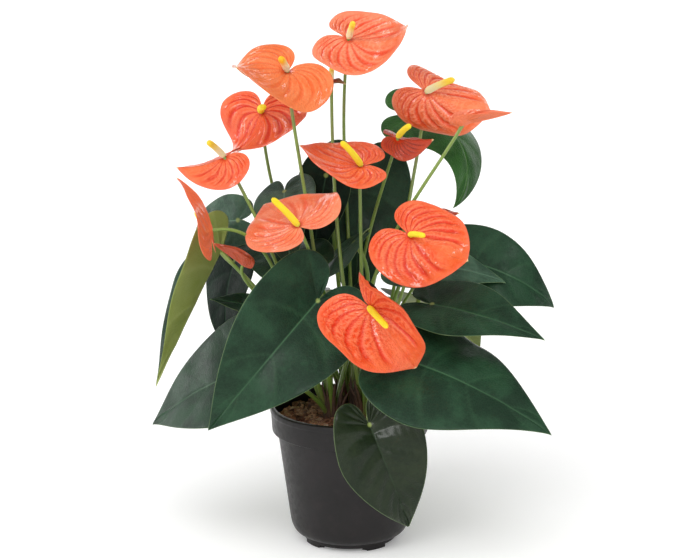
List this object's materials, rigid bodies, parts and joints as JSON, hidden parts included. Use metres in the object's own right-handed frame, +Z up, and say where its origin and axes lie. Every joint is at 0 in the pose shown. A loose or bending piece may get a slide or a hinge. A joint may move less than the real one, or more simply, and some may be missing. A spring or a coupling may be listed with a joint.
{
  "type": "potted anthurium",
  "caption": "Live anthurium in a round dark nursery pot: heart-shaped leaves on long stalks around a fan of glossy orange-red spathes with yellow spadices.",
  "frame": {"origin": "middle of the pot's foot, on the surface it stands on", "axes": "+Z up along the pot's axis, +Y away from the side seen in the picture, +X to its right"},
  "size_m": [0.36, 0.3052, 0.4638],
  "materials": {
    "pot": "satin",
    "substrate": "matte",
    "stalk": "satin",
    "leaf": "satin",
    "leaf_underside": "satin",
    "spathe": "gloss",
    "spathe_dark": "gloss",
    "spathe_old": "matte",
    "spadix_yellow": "matte",
    "spadix_cream": "matte"
  },
  "bodies": {
    "root": {"pot": "pot", "substrate": "substrate", "crown_left": "stalk", "crown_right": "stalk", "crown_back": "stalk", "leaf_front_left": "leaf", "leaf_low_left": "leaf", "leaf_far_left": "leaf_underside", "leaf_middle_left": "leaf", "leaf_shaded_left": "leaf", "leaf_small_left": "leaf", "leaf_high_left": "leaf", "leaf_back_left": "leaf", "leaf_centre": "leaf", "leaf_centre_narrow": "leaf", "leaf_grey": "leaf", "leaf_behind_bloom": "leaf", "leaf_high_right": "leaf", "leaf_far_right": "leaf", "leaf_middle_right": "leaf", "leaf_near_right": "leaf", "leaf_low_right": "leaf", "leaf_front": "leaf", "leaf_rear_right": "leaf", "leaf_rear": "leaf", "leaf_rear_left": "leaf", "leaf_rear_high": "leaf", "spathe_top": "spathe", "spathe_upper_left": "spathe", "spathe_left": "spathe", "spathe_far_left": "spathe", "spathe_middle": "spathe", "spathe_centre_left": "spathe", "spathe_upper_right": "spathe", "spathe_young_right": "spathe", "spathe_dark": "spathe_dark", "spathe_right": "spathe", "spathe_hidden_right": "spathe_dark", "spathe_low": "spathe", "spathe_edge_left": "spathe", "spathe_young_left": "spathe_dark", "spathe_old": "spathe_old", "spadix_top": "spadix_cream", "spadix_upper_left": "spadix_yellow", "spadix_left": "spadix_yellow", "spadix_far_left": "spadix_cream", "spadix_middle": "spadix_yellow", "spadix_centre_left": "spadix_yellow", "spadix_upper_right": "spadix_cream", "spadix_dark": "spadix_yellow", "spadix_right": "spadix_yellow", "spadix_hidden_right": "spadix_yellow", "spadix_low": "spadix_yellow", "spadix_edge_left": "spadix_yellow", "spadix_old": "spadix_cream"}
  },
  "joints": []
}
